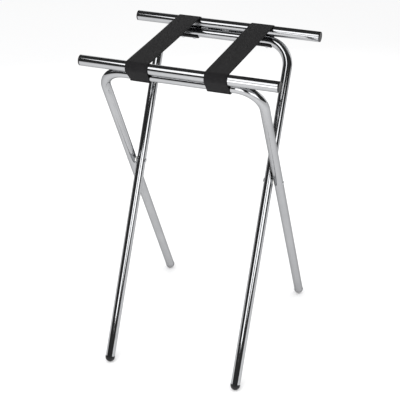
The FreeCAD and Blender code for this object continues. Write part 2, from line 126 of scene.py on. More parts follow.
class NodeSheet:
    """Adds and wires nodes in one shader or geometry tree."""

    def __init__(self, tree: bpy.types.NodeTree) -> None:
        """Keep the tree that the nodes go in."""
        self.tree = tree

    def add(self, kind: str, settings: dict[str, Any] | None = None, **inputs: Any) -> bpy.types.Node:
        """Add a node.

        Args:
            kind: Blender's node type.
            settings: Node properties to set before its sockets.
            inputs: Socket values or sockets to link, underscores standing for spaces.

        Returns:
            The node.
        """
        node = self.tree.nodes.new(kind)
        for name, choice in (settings or {}).items():
            setattr(node, name, choice)
        self.wire(node, **inputs)
        return node

    def wire(self, node: bpy.types.Node, **inputs: Any) -> None:
        """Feed a node's sockets by name, underscores standing for spaces."""
        for name, given in inputs.items():
            self.feed(socket_of(node.inputs, name.replace("_", " ")), given)

    def feed(self, target: bpy.types.NodeSocket, given: Any) -> None:
        """Set a socket's value, or link it when another socket is given.

        Args:
            target: The input socket.
            given: A value, or the output socket to link.
        """
        if isinstance(given, bpy.types.NodeSocket):
            self.tree.links.new(given, target)
        else:
            target.default_value = given

    def math(self, operation: str, *given: bpy.types.NodeSocket | float) -> bpy.types.NodeSocket:
        """Add a Math node.

        Args:
            operation: Blender's name of the operation.
            given: Numbers or sockets, in the node's order.

        Returns:
            The node's output socket.
        """
        node = self.tree.nodes.new("ShaderNodeMath")
        node.operation = operation
        for place, item in enumerate(given):
            self.feed(node.inputs[place], item)
        return node.outputs[0]


# Finishes


@dataclass(frozen=True)
class Finish:
    """What every finish has: a name and a way to make its material once."""

    name: str

    def material(self) -> bpy.types.Material:
        """Make the material, or return the one already made.

        Returns:
            The finish's material.
        """
        found = bpy.data.materials.get(self.name)
        if found:
            return found
        made = bpy.data.materials.new(self.name)
        made.use_nodes = True
        sheet = NodeSheet(made.node_tree)
        self.dress(sheet, made.node_tree.nodes["Principled BSDF"])
        return made

    def dress(self, sheet: NodeSheet, surface: bpy.types.ShaderNode) -> None:
        """Wire the finish's pattern into its surface shader. Each finish has its own."""
        raise NotImplementedError

    def ramp(self, sheet: NodeSheet, factor: bpy.types.NodeSocket, low: Sequence[float],
             high: Sequence[float], start: float = 0.0, stop: float = 1.0) -> bpy.types.NodeSocket:
        """Blend two colours by a factor.

        Args:
            sheet: Sheet of the material.
            factor: Socket that drives the blend.
            low: Colour at the start.
            high: Colour at the stop.
            start: Factor where the blend starts.
            stop: Factor where it stops.

        Returns:
            The colour socket.
        """
        node = sheet.add("ShaderNodeValToRGB", Fac=factor)
        node.color_ramp.elements[0].position = start
        node.color_ramp.elements[1].position = stop
        node.color_ramp.elements[0].color = (*low, 1.0)
        node.color_ramp.elements[1].color = (*high, 1.0)
        return node.outputs["Color"]

    def between(self, sheet: NodeSheet, factor: bpy.types.NodeSocket, low: float,
                high: float) -> bpy.types.NodeSocket:
        """Map a factor from 0..1 to low..high.

        Args:
            sheet: Sheet of the material.
            factor: Socket to map.
            low: Result at 0.
            high: Result at 1.

        Returns:
            The result socket.
        """
        node = sheet.add("ShaderNodeMapRange", Value=factor, To_Min=low, To_Max=high)
        return node.outputs["Result"]


@dataclass(frozen=True)
class PlatedFinish(Finish):
    """Plated metal: bright, with faint cloudiness, polishing lines and a few specks."""

    color: tuple[float, float, float] = (0.452, 0.457, 0.467)
    shade: tuple[float, float, float] = (0.405, 0.41, 0.42)
    polish: float = 0.04
    haze: float = 0.1
    grain: float = 0.02
    rim: float = 0.45

    def dress(self, sheet: NodeSheet, surface: bpy.types.ShaderNode) -> None:
        """Wire cloudiness into colour and roughness, and specks into the bump.

        Args:
            sheet: Sheet of the material.
            surface: The surface shader.
        """
        place = sheet.add("ShaderNodeTexCoord").outputs["Object"]
        cloud = sheet.add("ShaderNodeTexNoise", Vector=place, Scale=9.0, Detail=5.0, Roughness=0.6)
        speck = sheet.add("ShaderNodeTexNoise", Vector=place, Scale=950.0, Detail=2.0)
        lines = sheet.add("ShaderNodeTexNoise", Vector=place, Scale=160.0, Detail=8.0, Roughness=0.75)
        smear = sheet.math("MULTIPLY", cloud.outputs["Fac"], lines.outputs["Fac"])
        bump = sheet.add("ShaderNodeBump", Strength=self.grain, Distance=0.0002,
                         Height=speck.outputs["Fac"])
        sheet.wire(surface, Metallic=1.0, Specular_Tint=(self.rim, self.rim, self.rim, 1.0),
                   Base_Color=self.ramp(sheet, cloud.outputs["Fac"], self.shade, self.color, 0.3, 0.62),
                   Roughness=self.between(sheet, smear, self.polish, self.haze * 1.6),
                   Normal=bump.outputs["Normal"])


@dataclass(frozen=True)
class PlasticFinish(Finish):
    """Moulded plastic: fine satin skin, scuffed and dusty where it meets the floor."""

    color: tuple[float, float, float] = (0.006, 0.006, 0.0065)
    scuff: tuple[float, float, float] = (0.04, 0.039, 0.037)
    scuff_height: float = 0.007

    def dress(self, sheet: NodeSheet, surface: bpy.types.ShaderNode) -> None:
        """Wire the moulded skin and the scuffs.

        Args:
            sheet: Sheet of the material.
            surface: The surface shader.
        """
        place = sheet.add("ShaderNodeTexCoord").outputs["Object"]
        skin = sheet.add("ShaderNodeTexNoise", Vector=place, Scale=1400.0, Detail=3.0)
        rubbed = sheet.add("ShaderNodeTexNoise", Vector=place, Scale=260.0, Detail=6.0, Roughness=0.7)
        height = sheet.add("ShaderNodeSeparateXYZ", Vector=place).outputs["Z"]
        low = sheet.add("ShaderNodeMapRange", Value=height, From_Min=self.scuff_height, From_Max=0.0)
        worn = sheet.math("MULTIPLY", low.outputs["Result"], rubbed.outputs["Fac"])
        satin = sheet.math("ADD", rubbed.outputs["Fac"], worn)
        bump = sheet.add("ShaderNodeBump", Strength=0.12, Distance=0.0001, Height=skin.outputs["Fac"])
        sheet.wire(surface, Specular_IOR_Level=0.35, Normal=bump.outputs["Normal"],
                   Base_Color=self.ramp(sheet, worn, self.color, self.scuff, 0.05, 0.75),
                   Roughness=self.between(sheet, satin, 0.26, 0.6))


@dataclass(frozen=True)
class WebbingFinish(Finish):
    """Woven nylon webbing: staggered yarns on the strap's own UV map, with firmer edge cords."""

    yarn: tuple[float, float, float] = (0.0105, 0.010, 0.011)
    gap: tuple[float, float, float] = (0.003, 0.003, 0.0035)
    faded: tuple[float, float, float] = (0.018, 0.0175, 0.0185)
    yarn_length: float = 0.0026
    yarn_width: float = 0.0012
    half_width: float = 0.028
    edge_width: float = 0.0024

    def dress(self, sheet: NodeSheet, surface: bpy.types.ShaderNode) -> None:
        """Wire the weave, the edge cords and the fading.

        Args:
            sheet: Sheet of the material.
            surface: The surface shader.
        """
        flat = sheet.add("ShaderNodeUVMap", {"uv_map": "weave"}).outputs["UV"]
        across = sheet.add("ShaderNodeSeparateXYZ", Vector=flat)
        swapped = sheet.add("ShaderNodeCombineXYZ", X=across.outputs["Y"], Y=across.outputs["X"])
        weave = sheet.add("ShaderNodeTexBrick", {"offset": 0.5, "squash": 1.0},
                          Vector=swapped.outputs["Vector"], Scale=1.0, Mortar_Size=0.00022,
                          Mortar_Smooth=0.9, Brick_Width=self.yarn_length, Row_Height=self.yarn_width,
                          Color1=(*self.yarn, 1.0), Color2=(*self.faded, 1.0), Mortar=(*self.gap, 1.0))
        place = sheet.add("ShaderNodeTexCoord").outputs["Object"]
        fade = sheet.add("ShaderNodeTexNoise", Vector=place, Scale=22.0, Detail=6.0, Roughness=0.65)
        lint = sheet.add("ShaderNodeTexNoise", Vector=place, Scale=2600.0, Detail=2.0)
        edge = sheet.math("GREATER_THAN", sheet.math("ABSOLUTE", across.outputs["X"]),
                          self.half_width - self.edge_width)
        tone = self.between(sheet, fade.outputs["Fac"], 0.75, 1.3)
        tone = sheet.math("MULTIPLY_ADD", edge, -0.22, tone)
        shaded = sheet.add("ShaderNodeHueSaturation", Color=weave.outputs["Color"], Value=tone)
        raised = sheet.math("SUBTRACT", 1.0, weave.outputs["Fac"])
        fuzzy = sheet.math("MULTIPLY_ADD", lint.outputs["Fac"], 0.35, raised)
        bump = sheet.add("ShaderNodeBump", Strength=0.55, Distance=0.00035, Height=fuzzy)
        sheet.wire(surface, Base_Color=shaded.outputs["Color"], Normal=bump.outputs["Normal"],
                   Roughness=self.between(sheet, fade.outputs["Fac"], 0.62, 0.92),
                   Sheen_Weight=0.03, Sheen_Roughness=0.45, Specular_IOR_Level=0.12)


@dataclass(frozen=True)
class ThreadFinish(Finish):
    """Bonded sewing thread: dark, slightly shiny, twisted."""

    color: tuple[float, float, float] = (0.03, 0.03, 0.032)
    shade: tuple[float, float, float] = (0.012, 0.012, 0.013)

    def dress(self, sheet: NodeSheet, surface: bpy.types.ShaderNode) -> None:
        """Wire the twist of the thread.

        Args:
            sheet: Sheet of the material.
            surface: The surface shader.
        """
        place = sheet.add("ShaderNodeTexCoord").outputs["Object"]
        twist = sheet.add("ShaderNodeTexWave", {"bands_direction": "DIAGONAL"}, Vector=place, Scale=900.0,
                          Distortion=1.5)
        sheet.wire(surface, Base_Color=self.ramp(sheet, twist.outputs["Fac"], self.shade, self.color),
                   Roughness=self.between(sheet, twist.outputs["Fac"], 0.45, 0.7))


@dataclass(frozen=True)
class FloorFinish(Finish):
    """Plain pale studio floor with a hardly visible tone."""

    color: tuple[float, float, float] = (0.93, 0.93, 0.93)
    shade: tuple[float, float, float] = (0.915, 0.915, 0.92)

    def dress(self, sheet: NodeSheet, surface: bpy.types.ShaderNode) -> None:
        """Wire the floor's tone.

        Args:
            sheet: Sheet of the material.
            surface: The surface shader.
        """
        place = sheet.add("ShaderNodeTexCoord").outputs["Object"]
        tone = sheet.add("ShaderNodeTexNoise", Vector=place, Scale=0.8, Detail=3.0)
        sheet.wire(surface, Base_Color=self.ramp(sheet, tone.outputs["Fac"], self.shade, self.color),
                   Roughness=1.0, Specular_IOR_Level=0.0)


CHROME = PlatedFinish("chrome_plate")
ZINC = PlatedFinish("zinc_plate", (0.6, 0.605, 0.62), (0.46, 0.465, 0.48), 0.16, 0.3, 0.06)
PLASTIC = PlasticFinish("moulded_black")
# Grey plastic of the rear feet. Its light grey is partly real colour and partly painted light, standing in
# for the strong light that falls on those feet.
GREY_PLASTIC_PAINTED_LIGHT = PlasticFinish("moulded_grey", (0.27, 0.27, 0.28), (0.36, 0.355, 0.35))
# White nylon of the pivot spacers. The white is partly real colour and partly a painted highlight, standing
# in for the bright highlight between the legs.
NYLON_PAINTED_HIGHLIGHT = PlasticFinish("moulded_nylon", (0.82, 0.82, 0.80), (0.7, 0.7, 0.68))
WEBBING = WebbingFinish("woven_webbing")
THREAD = ThreadFinish("sewing_thread")
FLOOR = FloorFinish("studio_floor")


# Mesh helpers


def finished(name: str, mesh: bpy.types.Mesh, finish: Finish, sharp: float = 35.0) -> bpy.types.Object:
    """Turn a mesh into a shaded object at the origin.

    Args:
        name: Name of the piece.
        mesh: Its mesh, already in the rack's axes.
        finish: Its finish.
        sharp: Angle in degrees from which an edge is left sharp.

    Returns:
        The object, linked to the scene.
    """
    rounded = bmesh.new()
    rounded.from_mesh(mesh)
    bmesh.ops.remove_doubles(rounded, verts=rounded.verts, dist=1e-7)
    bmesh.ops.recalc_face_normals(rounded, faces=rounded.faces)
    rounded.to_mesh(mesh)
    rounded.free()
    mesh.polygons.foreach_set("use_smooth", [True] * len(mesh.polygons))
    mesh.set_sharp_from_angle(angle=math.radians(sharp))
    mesh.materials.clear()
    mesh.materials.append(finish.material())
    made = bpy.data.objects.new(name, mesh)
    bpy.context.scene.collection.objects.link(made)
    return made


def arc(centre: Point2, radius: float, start: float, stop: float, steps: int) -> list[Point2]:
    """Points along an arc.

    Args:
        centre: Centre of the arc.
        radius: Its radius.
        start: First angle in degrees.
        stop: Last angle in degrees.
        steps: Number of chords.

    Returns:
        The points, both ends included.
    """
    turns = [math.radians(start + (stop - start) * step / steps) for step in range(steps + 1)]
    return [(centre[0] + radius * math.cos(turn), centre[1] + radius * math.sin(turn)) for turn in turns]


def shares(first: int, steps: int) -> list[float]:
    """Shares of the way from step number first to the last of a number of equal steps."""
    return [step / steps for step in range(first, steps + 1)]


def eased(share: float) -> float:
    """Share of the way, starting and stopping gently."""
    return share * share * (3 - 2 * share)


def lathe(name: str, outline: Sequence[Point2], place: Matrix, segments: int = 48,
          ring: bool = False) -> bpy.types.Mesh:
    """Turn an outline about its axis.

    Args:
        name: Name of the mesh.
        outline: Pairs of distance along the axis and radius. Zero radius makes a pole.
        place: Matrix from the lathe's axes, turning about Z, to the rack's.
        segments: Number of sides.
        ring: Whether the last point joins the first.

    Returns:
        The mesh, in the rack's axes.
    """
    turned = bmesh.new()
    rings = []
    for along, radius in outline:
        count = 1 if radius < 1e-9 else segments
        rings.append([
            turned.verts.new(place @ Vector((
                radius * math.cos(2 * math.pi * turn / segments),
                radius * math.sin(2 * math.pi * turn / segments),
                along,
            )))
            for turn in range(count)
        ])
    pairs = list(zip(rings, rings[1:])) + ([(rings[-1], rings[0])] if ring else [])
    for first, second in pairs:
        for turn in range(segments):
            following = (turn + 1) % segments
            corners = [first[turn % len(first)], first[following % len(first)],
                       second[following % len(second)], second[turn % len(second)]]
            distinct = list(dict.fromkeys(corners))
            if len(distinct) > 2:
                turned.faces.new(distinct)
    mesh = bpy.data.meshes.new(name)
    turned.to_mesh(mesh)
    turned.free()
    return mesh


# Geometry Nodes trees


class GrowTree:
    """A Geometry Nodes tree with named inputs, and the way to grow a piece with it."""

    def __init__(self, name: str, sizes: dict[str, str]) -> None:
        """Make the tree and its interface.

        Args:
            name: Name of the tree.
            sizes: Input names with their socket types, beside the base and the material.
        """
        self.tree = bpy.data.node_groups.new(name, "GeometryNodeTree")
        face = self.tree.interface
        face.new_socket("Base", in_out="INPUT", socket_type="NodeSocketGeometry")
        for label, kind in sizes.items():
            face.new_socket(label, in_out="INPUT", socket_type=kind)
        face.new_socket("Finish", in_out="INPUT", socket_type="NodeSocketMaterial")
        face.new_socket("Piece", in_out="OUTPUT", socket_type="NodeSocketGeometry")
        self.sheet = NodeSheet(self.tree)
        self.given = self.sheet.add("NodeGroupInput")
        self.result = self.sheet.add("NodeGroupOutput")

    def close(self, geometry: bpy.types.NodeSocket) -> None:
        """End the tree: realize the instances, smooth them and set the material.

        Args:
            geometry: Socket of the shape that the tree has made.
        """
        real = self.sheet.add("GeometryNodeRealizeInstances", Geometry=geometry)
        smooth = self.sheet.add("GeometryNodeSetShadeSmooth")
        self.sheet.feed(smooth.inputs[0], real.outputs["Geometry"])
        dressed = self.sheet.add("GeometryNodeSetMaterial", Geometry=smooth.outputs[0],
                                 Material=self.given.outputs["Finish"])
        self.sheet.wire(self.result, Piece=dressed.outputs["Geometry"])

    def grow(self, name: str, base: bpy.types.Mesh, finish: Finish,
             values: dict[str, Any]) -> bpy.types.Mesh:
        """Run the tree on a base mesh.

        Args:
            name: Name of the grown mesh.
            base: Mesh that the tree starts from, which is removed afterwards.
            finish: Finish given to the tree.
            values: Input values by name.

        Returns:
            The plain mesh that the tree gives.
        """
        holder = bpy.data.objects.new(name + "_base", base)
        modifier = holder.modifiers.new("grow", "NODES")
        modifier.node_group = self.tree
        for item in self.tree.interface.items_tree:
            if item.in_out == "INPUT" and item.name in values:
                modifier[item.identifier] = values[item.name]
            elif item.in_out == "INPUT" and item.name == "Finish":
                modifier[item.identifier] = finish.material()
        bpy.context.scene.collection.objects.link(holder)
        ready = bpy.context.evaluated_depsgraph_get()
        grown = bpy.data.meshes.new_from_object(holder.evaluated_get(ready))
        grown.name = name
        holder.modifiers.remove(modifier)
        bpy.data.objects.remove(holder)
        bpy.data.meshes.remove(base)
        return grown


class BentTubeTree(GrowTree):
    """A tube bent into an upside-down U: its line is worked out, filleted and given a round section."""

    def __init__(self) -> None:
        """Build the tree."""
        sizes = {name: "NodeSocketFloat" for name in ("Width", "Rise", "Drop", "Bend Radius", "Diameter")}
        super().__init__("bent_tube", sizes | {"Bend Steps": "NodeSocketInt", "Sides": "NodeSocketInt"})
        sheet, given = self.sheet, self.given.outputs
        line = sheet.add("GeometryNodeMeshLine", Count=4)
        curve = sheet.add("GeometryNodeMeshToCurve", Mesh=line.outputs["Mesh"])
        index = sheet.add("GeometryNodeInputIndex").outputs["Index"]
        half = sheet.math("MULTIPLY", given["Width"], 0.5)
        side = sheet.math("MULTIPLY_ADD", sheet.math("GREATER_THAN", index, 1.5), 2.0, -1.0)
        top = sheet.math("LESS_THAN", sheet.math("ABSOLUTE", sheet.math("SUBTRACT", index, 1.5)), 1.0)
        height = sheet.math("MULTIPLY", top, sheet.math("ADD", given["Rise"], given["Drop"]))
        corner = sheet.add("ShaderNodeCombineXYZ", X=sheet.math("MULTIPLY", side, half),
                           Z=sheet.math("SUBTRACT", height, given["Drop"]))
        placed = sheet.add("GeometryNodeSetPosition", Geometry=curve.outputs["Curve"],
                           Position=corner.outputs["Vector"])
        bent = sheet.add("GeometryNodeFilletCurve", {"mode": "POLY"}, Curve=placed.outputs["Geometry"],
                         Count=given["Bend Steps"], Radius=given["Bend Radius"])
        section = sheet.add("GeometryNodeCurvePrimitiveCircle", Resolution=given["Sides"],
                            Radius=sheet.math("MULTIPLY", given["Diameter"], 0.5))
        tube = sheet.add("GeometryNodeCurveToMesh", Curve=bent.outputs["Curve"],
                         Profile_Curve=section.outputs["Curve"], Fill_Caps=True)
        self.close(tube.outputs["Mesh"])


class BeadRowTree(GrowTree):
    """Rounded beads one after another along the base's edges: stitches of a seam, ripples of a weld."""

    def __init__(self) -> None:
        """Build the tree."""
        super().__init__("bead_row", {name: "NodeSocketFloat" for name in ("Pitch", "Length", "Thickness")})
        sheet, given = self.sheet, self.given.outputs
        curve = sheet.add("GeometryNodeMeshToCurve", Mesh=given["Base"])
        steps = sheet.add("GeometryNodeResampleCurve", {"mode": "LENGTH"}, Curve=curve.outputs["Curve"],
                          Length=given["Pitch"])
        tangent = sheet.add("GeometryNodeInputTangent")
        turned = sheet.add("FunctionNodeAlignRotationToVector", {"axis": "X"},
                           Vector=tangent.outputs["Tangent"])
        bead = sheet.add("GeometryNodeMeshIcoSphere", Radius=0.5, Subdivisions=2)
        size = sheet.add("ShaderNodeCombineXYZ", X=given["Length"], Y=given["Thickness"],
                         Z=given["Thickness"])
        row = sheet.add("GeometryNodeInstanceOnPoints", Points=steps.outputs["Curve"],
                        Instance=bead.outputs["Mesh"], Rotation=turned.outputs["Rotation"],
                        Scale=size.outputs["Vector"])
        self.close(row.outputs["Instances"])


class FastenerTree(GrowTree):
    """One pattern piece set at every point of the base: screws and washers."""

    def __init__(self) -> None:
        """Build the tree."""
        super().__init__("fastener_set", {"Pattern": "NodeSocketObject"})
        sheet, given = self.sheet, self.given.outputs
        pattern = sheet.add("GeometryNodeObjectInfo", Object=given["Pattern"])
        row = sheet.add("GeometryNodeInstanceOnPoints", Points=given["Base"],
                        Instance=pattern.outputs["Geometry"])
        self.close(row.outputs["Instances"])


def base_mesh(name: str, points: Sequence[Vector],
              edges: Sequence[tuple[int, int]] = ()) -> bpy.types.Mesh:
    """Loose points and edges for a tree to start from.

    Args:
        name: Name of the mesh.
        points: Its points.
        edges: Pairs of point numbers.

    Returns:
        The mesh.
    """
    mesh = bpy.data.meshes.new(name)
    mesh.from_pydata([tuple(point) for point in points], list(edges), [])
    return mesh


# Where the frames stand


@dataclass(frozen=True)
class Stance:
    """A frame's own upright axes: the pivot is its X axis, -Y faces outwards, and +Z runs up it."""

    end: End
    pivot_height: float
    lean: float
    bar: Vector

    @classmethod
    def read(cls, end: End) -> "Stance":
        """Work out a frame's lean from its top bar and the pivot.

        Args:
            end: End that the frame's top bar lies at.

        Returns:
            The stance.
        """
        fold = next(joint for joint in frame["joints"] if joint["name"] == "fold")
        low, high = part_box(end.value + "_top_bar")
        bar = (low + high) / 2
        height = fold["pos_m"][2]
        return cls(end, height, math.atan2(abs(bar.y), bar.z - height), bar)

    @property
    def bar_rise(self) -> float:
        """Distance from the pivot up the frame to the bar's centreline."""
        return math.hypot(self.bar.y, self.bar.z - self.pivot_height)

    def place(self, x: float = 0.0, z: float = 0.0) -> Matrix:
        """Matrix from the frame's own axes, moved along it, to the rack's.

        Args:
            x: Shift along the pivot axis, to the rack's right.
            z: Shift up the frame.

        Returns:
            The matrix.
        """
        about = Matrix.Rotation(0.0 if self.end is End.FRONT else math.pi, 4, "Z")
        lean = Matrix.Translation((0, 0, self.pivot_height)) @ about @ Matrix.Rotation(self.lean, 4, "X")
        turned = x if self.end is End.FRONT else -x
        return lean @ Matrix.Translation((turned, 0, z))

    def sideways(self, x: float, z: float, sign: int) -> Matrix:
        """Matrix for a turned piece whose axis points to the rack's right or left.

        Args:
            x: Where along the pivot axis the piece starts.
            z: How far up the frame.
            sign: 1 to point right, -1 to point left.

        Returns:
            The matrix.
        """
        own = sign if self.end is End.FRONT else -sign
        return self.place(x, z) @ Matrix.Rotation(own * math.pi / 2, 4, "Y")


# Sub-assemblies


@dataclass
class TubeFrame:
    """One bent tube frame with its top bar, plugs, welds, feet and strap fixings."""

    stance: Stance
    width: float
    trees: "Trees"
    tube: float = TUBE
    bend: float = BEND
    rise: float = 334.8 * MM
    drop: float = 503.0 * MM
    bar: float = BAR
    wall: float = 1.2 * MM
    flange: float = 3.0 * MM
    foot: float = 12.1 * MM
    foot_rim: float = 2.5 * MM
    foot_shank: float = 22.0 * MM
    bar_shank: float = 16.0 * MM
    rib_height: float = 1.4 * MM
    rib_length: float = 2.4 * MM
    bead_pitch: float = 55.0 * MM
    bead_reach: float = 8.0 * MM
    bead_ahead: float = 4.1 * MM
    bead_rise: float = 0.2 * MM
    ripple: tuple[float, float, float] = (1.9 * MM, 3.3 * MM, 4.4 * MM)
    dish_depth: float = 0.45 * MM
    dish_radii: tuple[float, float, float] = (7.2 * MM, 7.7 * MM, 8.3 * MM)
    groove: tuple[float, float] = (0.5 * MM, 1.1 * MM)
    groove_slope: float = 0.2 * MM
    groove_depth: float = 0.18 * MM
    strap_offset: float = 94.0 * MM
    screw_reach: float = 15.0 * MM
    screw_seat: float = 4.0 * MM
    screw: float = 2.0 * MM
    screw_head: float = 4.0 * MM
    screw_crown: float = 2.4 * MM
    screw_length: float = 7.6 * MM
    screw_point: float = 1.1 * MM
    cross_reach: float = 2.3 * MM
    cross_half: float = 0.5 * MM
    cross_depth: float = 1.1 * MM
    washer: float = 5.25 * MM
    washer_bore: float = 2.05 * MM
    washer_thick: float = 1.0 * MM

    def build(self) -> list[bpy.types.Object]:
        """Build every piece of the frame and let it ride on the frame's body.

        Returns:
            The pieces.
        """
        end = self.stance.end
        foot_end = "rear" if end is End.FRONT else "front"
        pieces = [self.make_tube(), self.make_bar(), self.make_welds(), self.make_screws(),
                  self.make_washers()]
        for side in Side:
            pieces.append(self.make_bar_plug(side))
            pieces.append(self.make_foot(side, foot_end))
        for piece in pieces:
            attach(piece, end.body)
        return pieces

    def dress(self, piece: bpy.types.Object, node: str, slot: str) -> bpy.types.Object:
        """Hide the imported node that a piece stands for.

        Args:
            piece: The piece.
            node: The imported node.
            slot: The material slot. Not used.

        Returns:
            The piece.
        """
        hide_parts(node)
        return piece

    def make_tube(self) -> bpy.types.Object:
        """Grow the bent tube.

        Returns:
            The piece.
        """
        name = self.stance.end.body
        values = {"Width": self.width, "Rise": self.rise, "Drop": self.drop, "Bend Radius": self.bend,
                  "Diameter": self.tube, "Bend Steps": 40, "Sides": 72}
        mesh = self.trees.bent_tube.grow(name + "_chromed", base_mesh(name, []), CHROME, values)
        mesh.transform(self.stance.place())
        return self.dress(finished(name + "_chromed", mesh, CHROME), name + "_tube", "chrome_tube")

    def make_bar(self) -> bpy.types.Object:
        """Turn the top bar: a tube with softened ends.

        Returns:
            The piece.
        """
        end = self.stance.end.value
        low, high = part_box(end + "_top_bar")
        length = high.x - low.x
        outer, soft = self.bar / 2, 0.35 * MM
        inner = outer - self.wall
        outline = [(0, inner), (0, outer - soft), *arc((soft, outer - soft), soft, 180, 90, 4),
                   *arc((length - soft, outer - soft), soft, 90, 0, 4), (length, inner)]
        place = self.stance.sideways(low.x, self.stance.bar_rise, 1)
        mesh = lathe(end + "_bar_chromed", outline, place, 96, ring=True)
        return self.dress(finished(end + "_bar_chromed", mesh, CHROME), end + "_top_bar", "chrome_tube")

    def shank(self, bore: float, depth: float) -> list[Point2]:
        """Outline of a plug's ribbed shank, from its mouth into the tube.

        Args:
            bore: Radius of the tube's bore.
            depth: Length of the shank.

        Returns:
            Pairs of depth and radius, ending on the axis.
        """
        core, rib, blunt = bore - self.rib_height, self.rib_length, 0.5 * MM
        near = [(0.0, bore), (rib * 0.7, bore), (rib, core)]
        far = [(depth - rib, core), (depth - rib * 0.6, bore), (depth - blunt, bore), (depth, 0.0)]
        return near + far

    def make_bar_plug(self, side: Side) -> bpy.types.Object:
        """Turn an end plug: dished face, rounded edge and ribbed shank.

        Args:
            side: Side of the bar that it closes.

        Returns:
            The piece.
        """
        end = self.stance.end.value
        low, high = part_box(end + "_top_bar")
        radius, face, soft, break_edge = self.bar / 2 - 0.1 * MM, self.flange, 0.9 * MM, 0.15 * MM
        floor, (flat, slope, lip) = face - self.dish_depth, self.dish_radii
        dish = [(floor, 0.0), (floor, flat), (floor + self.dish_depth / 3, slope), (face, lip)]
        edge = arc((face - soft, radius - soft), soft, 0, 90, 6)
        inside = [(-depth, reach) for depth, reach in self.shank(self.bar / 2 - self.wall, self.bar_shank)]
        outline = dish + edge + [(break_edge, radius), (0.0, radius - break_edge)] + inside
        start = high.x if side is Side.RIGHT else low.x
        place = self.stance.sideways(start, self.stance.bar_rise, side.sign)
        name = f"{end}_bar_cap_{side.value}"
        mesh = lathe(name, outline, place, 64)
        return self.dress(finished(name, mesh, PLASTIC), f"{end}_bar_plug_{side.value}", "black_plastic")

    def make_foot(self, side: Side, foot_end: str) -> bpy.types.Object:
        """Turn a foot: a dome, a rim that stands just proud of the tube, and a ribbed shank.

        Args:
            side: Side of the frame.
            foot_end: End of the rack that the foot stands at.

        Returns:
            The piece.
        """
        radius, rim, soft = self.foot, self.foot_rim, 0.5 * MM
        start, stop, slope, deep = *self.groove, self.groove_slope, radius - self.groove_depth
        dome = arc((0.0, 0.0), radius, 180, 96, 22)
        band = [(0.0, radius), (start, radius), (start + slope, deep), (stop - slope, deep),
                (stop, radius)]
        shoulder = arc((rim - soft, radius - soft), soft, 90, 0, 4)
        shank = self.shank(self.tube / 2 - self.wall, self.foot_shank)
        inside = [(rim + depth, reach) for depth, reach in shank]
        low = [(along, abs(across)) for along, across in dome]
        low[0] = (low[0][0], 0.0)
        name = f"{foot_end}_foot_cap_{side.value}"
        place = self.stance.place(side.sign * self.width / 2, -(self.drop + rim))
        mesh = lathe(name, low + band + shoulder + inside, place, 56)
        for vertex in mesh.vertices:
            vertex.co.z = max(vertex.co.z, 0.0)
        front = foot_end == "front"
        # The rear feet get the grey plastic, whose lightness is partly painted light.
        finish, slot = (PLASTIC, "black_plastic") if front else (GREY_PLASTIC_PAINTED_LIGHT, "grey_plastic")
        return self.dress(finished(name, mesh, finish), f"{foot_end}_foot_{side.value}", slot)

    def make_welds(self) -> bpy.types.Object:
        """Grow the three plated-over weld beads in the inner corner of bar and crosspiece.

        Returns:
            The piece.
        """
        end = self.stance.end.value
        height = self.rise + self.tube / 2 + self.bead_rise
        points, edges = [], []
        for step in (-1, 0, 1):
            for reach in (-self.bead_reach, self.bead_reach):
                points.append(Vector((step * self.bead_pitch + reach, self.bead_ahead, height)))
            edges.append((len(points) - 2, len(points) - 1))
        values = dict(zip(("Pitch", "Length", "Thickness"), self.ripple))
        mesh = self.trees.bead_row.grow(end + "_weld_beads", base_mesh(end, points, edges), CHROME, values)
        mesh.transform(self.stance.place())
        return self.dress(finished(end + "_weld_beads", mesh, CHROME, 80), end + "_bar_welds", "chrome_tube")

    def fixings(self) -> list[Vector]:
        """Places of the four strap screws, where washers meet screw heads.

        Returns:
            The places, in the frame's own axes.
        """
        height = self.rise - self.tube / 2 - self.screw_seat
        return [Vector((side * self.strap_offset + step * self.screw_reach, 0.0, height))
                for side in (-1, 1) for step in (-1, 1)]

    def spread(self, name: str, pattern: bpy.types.Mesh) -> bpy.types.Mesh:
        """Set a pattern piece at every strap fixing.

        Args:
            name: Name of the piece.
            pattern: Mesh of one fastener, in the frame's own axes.

        Returns:
            The grown mesh, in the rack's axes.
        """
        holder = bpy.data.objects.new(name + "_pattern", pattern)
        bpy.context.scene.collection.objects.link(holder)
        mesh = self.trees.fastener.grow(name, base_mesh(name, self.fixings()), ZINC, {"Pattern": holder})
        bpy.data.objects.remove(holder)
        bpy.data.meshes.remove(pattern)
        mesh.transform(self.stance.place())
        return mesh

    def make_screws(self) -> bpy.types.Object:
        """Grow the four strap screws, their domed heads cut with a cross.

        Returns:
            The piece.
        """
        name = self.stance.end.value + "_pan_screws"
        steps = 10
        head = [(-self.screw_crown * math.sqrt(1 - (ring / steps) ** 2), self.screw_head * ring / steps)
                for ring in range(steps)] + [(0.0, self.screw_head)]
        tip = self.screw_length + self.screw_point
        shank = [(0.0, self.screw), (self.screw_length, self.screw), (tip, 0.0)]
        pattern = lathe(name, head + shank, Matrix.Identity(4), 32)
        for vertex in pattern.vertices:
            reach, arm = math.hypot(vertex.co.x, vertex.co.y), min(abs(vertex.co.x), abs(vertex.co.y))
            on_cross = reach < self.cross_reach and arm < self.cross_half
            if on_cross and vertex.co.z < -self.cross_half:
                vertex.co.z += self.cross_depth
        mesh = self.spread(name, pattern)
        return self.dress(finished(name, mesh, ZINC), self.stance.end.value + "_strap_screws",
                          "plated_hardware")

    def make_washers(self) -> bpy.types.Object:
        """Grow the four washers under the screw heads.

        Returns:
            The piece.
        """
        name = self.stance.end.value + "_flat_washers"
        soft, outer, inner, thick = 0.2 * MM, self.washer, self.washer_bore, self.washer_thick
        outline = [(0.0, inner), (0.0, outer - soft), (soft, outer), (thick - soft, outer),
                   (thick, outer - soft), (thick, inner)]
        mesh = self.spread(name, lathe(name, outline, Matrix.Identity(4), 40, ring=True))
        return self.dress(finished(name, mesh, ZINC), self.stance.end.value + "_strap_washers",
                          "plated_hardware")


